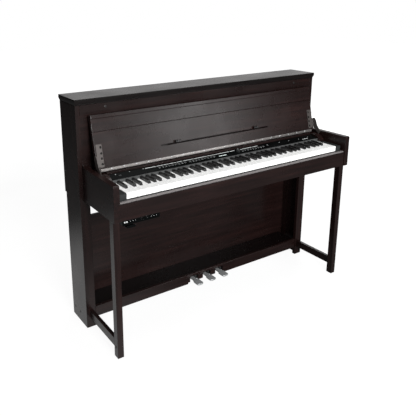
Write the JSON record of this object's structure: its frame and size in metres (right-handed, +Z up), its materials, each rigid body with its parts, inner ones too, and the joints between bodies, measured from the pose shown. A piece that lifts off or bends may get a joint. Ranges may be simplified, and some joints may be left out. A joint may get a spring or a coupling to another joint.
{
  "type": "digital piano",
  "caption": "Upright-cabinet digital piano on its own stand: sprung keys, three pedals, control panel, and a lid that folds over the keys and carries a music ledge.",
  "frame": {"origin": "on the floor under the middle of the bounding box", "axes": "+X along the keyboard towards the treble end, +Y away from the player, +Z up"},
  "size_m": [1.408, 0.463, 1.083],
  "materials": {
    "cabinet_wood": "satin dark brown laminate with a faint grain",
    "back_board": "matt dark brown board",
    "white_key": "smooth ivory-coloured key tops",
    "black_key": "matt black key tops",
    "panel_black": "polished black moulding",
    "grey_plastic": "fine-textured grey moulding",
    "hinge_steel": "bright plated steel",
    "pedal_metal": "satin plated cast metal",
    "frame_steel": "grey painted sheet",
    "display": "pale backlit display window",
    "circuit_board": "green solder mask",
    "speaker_cone": "black treated paper cone"
  },
  "bodies": {
    "cabinet": {"top_board": "cabinet_wood", "left_upper_side": "cabinet_wood", "right_upper_side": "cabinet_wood", "upper_front_rail": "cabinet_wood", "upper_front_panel": "cabinet_wood", "left_lower_side": "cabinet_wood", "right_lower_side": "cabinet_wood", "modesty_panel": "cabinet_wood", "bottom_rail": "cabinet_wood", "left_arm": "cabinet_wood", "right_arm": "cabinet_wood", "left_front_leg": "cabinet_wood", "right_front_leg": "cabinet_wood", "left_stretcher": "cabinet_wood", "right_stretcher": "cabinet_wood", "key_slip": "cabinet_wood", "left_cheek": "cabinet_wood", "right_cheek": "cabinet_wood", "lid_rail": "cabinet_wood", "upper_back_panel": "back_board", "bottom_shelf": "back_board", "key_bed": "back_board", "key_frame": "frame_steel", "pedal_box": "grey_plastic", "keyboard_surround": "grey_plastic", "control_panel": "panel_black", "display_window": "display", "jack_box": "panel_black", "power_inlet": "panel_black", "main_circuit_board": "circuit_board", "left_speaker": "speaker_cone", "right_speaker": "speaker_cone"},
    "lid": {"lid_board": "cabinet_wood", "lid_hinge": "hinge_steel", "left_lid_bracket": "hinge_steel", "right_lid_bracket": "hinge_steel", "music_ledge": "cabinet_wood"},
    "flap": {"lid_flap": "cabinet_wood"},
    "left_clip": {"left_page_clip": "hinge_steel"},
    "right_clip": {"right_page_clip": "hinge_steel"},
    "white_keys": {"white_keys": "white_key"},
    "black_keys": {"black_keys": "black_key"},
    "soft_pedal": {"soft_pedal": "pedal_metal"},
    "sostenuto_pedal": {"sostenuto_pedal": "pedal_metal"},
    "damper_pedal": {"damper_pedal": "pedal_metal"},
    "power_button": {"power_button": "panel_black"},
    "volume_knob": {"volume_knob": "grey_plastic"},
    "panel_buttons": {"panel_buttons": "grey_plastic"},
    "key_c4": {"key_c4": "white_key"},
    "key_c_sharp4": {"key_c_sharp4": "black_key"},
    "key_d4": {"key_d4": "white_key"},
    "key_d_sharp4": {"key_d_sharp4": "black_key"},
    "key_e4": {"key_e4": "white_key"},
    "key_f4": {"key_f4": "white_key"},
    "key_f_sharp4": {"key_f_sharp4": "black_key"},
    "key_g4": {"key_g4": "white_key"},
    "key_g_sharp4": {"key_g_sharp4": "black_key"},
    "key_a4": {"key_a4": "white_key"},
    "key_a_sharp4": {"key_a_sharp4": "black_key"},
    "key_b4": {"key_b4": "white_key"}
  },
  "joints": [
    {"name": "lid_swing", "type": "hinge", "parent": "cabinet", "child": "lid", "pos_m": [0, -0.0185, 0.7804], "axis": [1, 0, 0], "range_deg": [0, 103.4]},
    {"name": "flap_fold", "type": "hinge", "parent": "lid", "child": "flap", "pos_m": [0, 0.02071, 0.94499], "axis": [1, 0, 0], "range_deg": [0, 60]},
    {"name": "left_clip_flip", "type": "hinge", "parent": "lid", "child": "left_clip", "pos_m": [-0.235, -0.01456, 0.85003], "axis": [1, 0, 0], "range_deg": [0, 80]},
    {"name": "right_clip_flip", "type": "hinge", "parent": "lid", "child": "right_clip", "pos_m": [0.235, -0.01456, 0.85003], "axis": [1, 0, 0], "range_deg": [0, 80]},
    {"name": "white_keys_press", "type": "hinge", "parent": "cabinet", "child": "white_keys", "pos_m": [0, 0.0135, 0.731], "axis": [1, 0, 0], "range_deg": [0, 2.6], "stiffness_Nm_per_rad": 40, "springref_deg": -14.32},
    {"name": "black_keys_press", "type": "hinge", "parent": "cabinet", "child": "black_keys", "pos_m": [0, 0.0135, 0.731], "axis": [1, 0, 0], "range_deg": [0, 2.6], "stiffness_Nm_per_rad": 14, "springref_deg": -14.32},
    {"name": "key_c4_press", "type": "hinge", "parent": "cabinet", "child": "key_c4", "pos_m": [0, 0.0135, 0.731], "axis": [1, 0, 0], "range_deg": [0, 2.6], "stiffness_Nm_per_rad": 1, "springref_deg": -17.19},
    {"name": "key_c_sharp4_press", "type": "hinge", "parent": "cabinet", "child": "key_c_sharp4", "pos_m": [0, 0.0135, 0.731], "axis": [1, 0, 0], "range_deg": [0, 2.6], "stiffness_Nm_per_rad": 1, "springref_deg": -17.19},
    {"name": "key_d4_press", "type": "hinge", "parent": "cabinet", "child": "key_d4", "pos_m": [0, 0.0135, 0.731], "axis": [1, 0, 0], "range_deg": [0, 2.6], "stiffness_Nm_per_rad": 1, "springref_deg": -17.19},
    {"name": "key_d_sharp4_press", "type": "hinge", "parent": "cabinet", "child": "key_d_sharp4", "pos_m": [0, 0.0135, 0.731], "axis": [1, 0, 0], "range_deg": [0, 2.6], "stiffness_Nm_per_rad": 1, "springref_deg": -17.19},
    {"name": "key_e4_press", "type": "hinge", "parent": "cabinet", "child": "key_e4", "pos_m": [0, 0.0135, 0.731], "axis": [1, 0, 0], "range_deg": [0, 2.6], "stiffness_Nm_per_rad": 1, "springref_deg": -17.19},
    {"name": "key_f4_press", "type": "hinge", "parent": "cabinet", "child": "key_f4", "pos_m": [0, 0.0135, 0.731], "axis": [1, 0, 0], "range_deg": [0, 2.6], "stiffness_Nm_per_rad": 1, "springref_deg": -17.19},
    {"name": "key_f_sharp4_press", "type": "hinge", "parent": "cabinet", "child": "key_f_sharp4", "pos_m": [0, 0.0135, 0.731], "axis": [1, 0, 0], "range_deg": [0, 2.6], "stiffness_Nm_per_rad": 1, "springref_deg": -17.19},
    {"name": "key_g4_press", "type": "hinge", "parent": "cabinet", "child": "key_g4", "pos_m": [0, 0.0135, 0.731], "axis": [1, 0, 0], "range_deg": [0, 2.6], "stiffness_Nm_per_rad": 1, "springref_deg": -17.19},
    {"name": "key_g_sharp4_press", "type": "hinge", "parent": "cabinet", "child": "key_g_sharp4", "pos_m": [0, 0.0135, 0.731], "axis": [1, 0, 0], "range_deg": [0, 2.6], "stiffness_Nm_per_rad": 1, "springref_deg": -17.19},
    {"name": "key_a4_press", "type": "hinge", "parent": "cabinet", "child": "key_a4", "pos_m": [0, 0.0135, 0.731], "axis": [1, 0, 0], "range_deg": [0, 2.6], "stiffness_Nm_per_rad": 1, "springref_deg": -17.19},
    {"name": "key_a_sharp4_press", "type": "hinge", "parent": "cabinet", "child": "key_a_sharp4", "pos_m": [0, 0.0135, 0.731], "axis": [1, 0, 0], "range_deg": [0, 2.6], "stiffness_Nm_per_rad": 1, "springref_deg": -17.19},
    {"name": "key_b4_press", "type": "hinge", "parent": "cabinet", "child": "key_b4", "pos_m": [0, 0.0135, 0.731], "axis": [1, 0, 0], "range_deg": [0, 2.6], "stiffness_Nm_per_rad": 1, "springref_deg": -17.19},
    {"name": "soft_pedal_press", "type": "hinge", "parent": "cabinet", "child": "soft_pedal", "pos_m": [-0.082, 0.1685, 0.06], "axis": [1, 0, 0], "range_deg": [0, 6], "stiffness_Nm_per_rad": 20, "springref_deg": -5.73},
    {"name": "sostenuto_pedal_press", "type": "hinge", "parent": "cabinet", "child": "sostenuto_pedal", "pos_m": [0, 0.1685, 0.06], "axis": [1, 0, 0], "range_deg": [0, 6], "stiffness_Nm_per_rad": 20, "springref_deg": -5.73},
    {"name": "damper_pedal_press", "type": "hinge", "parent": "cabinet", "child": "damper_pedal", "pos_m": [0.082, 0.1685, 0.06], "axis": [1, 0, 0], "range_deg": [0, 6], "stiffness_Nm_per_rad": 20, "springref_deg": -5.73},
    {"name": "power_button_press", "type": "slide", "parent": "cabinet", "child": "power_button", "axis": [0, 0.3007, -0.9537], "range_m": [0, 0.0015], "stiffness_N_per_m": 400, "springref_m": -0.002},
    {"name": "panel_buttons_press", "type": "slide", "parent": "cabinet", "child": "panel_buttons", "axis": [0, 0.3007, -0.9537], "range_m": [0, 0.001], "stiffness_N_per_m": 1500, "springref_m": -0.002},
    {"name": "volume_turn", "type": "hinge", "parent": "cabinet", "child": "volume_knob", "pos_m": [0.086, -0.05209, 0.7606], "axis": [0, -0.3007, 0.9537], "range_deg": [0, 280]}
  ]
}
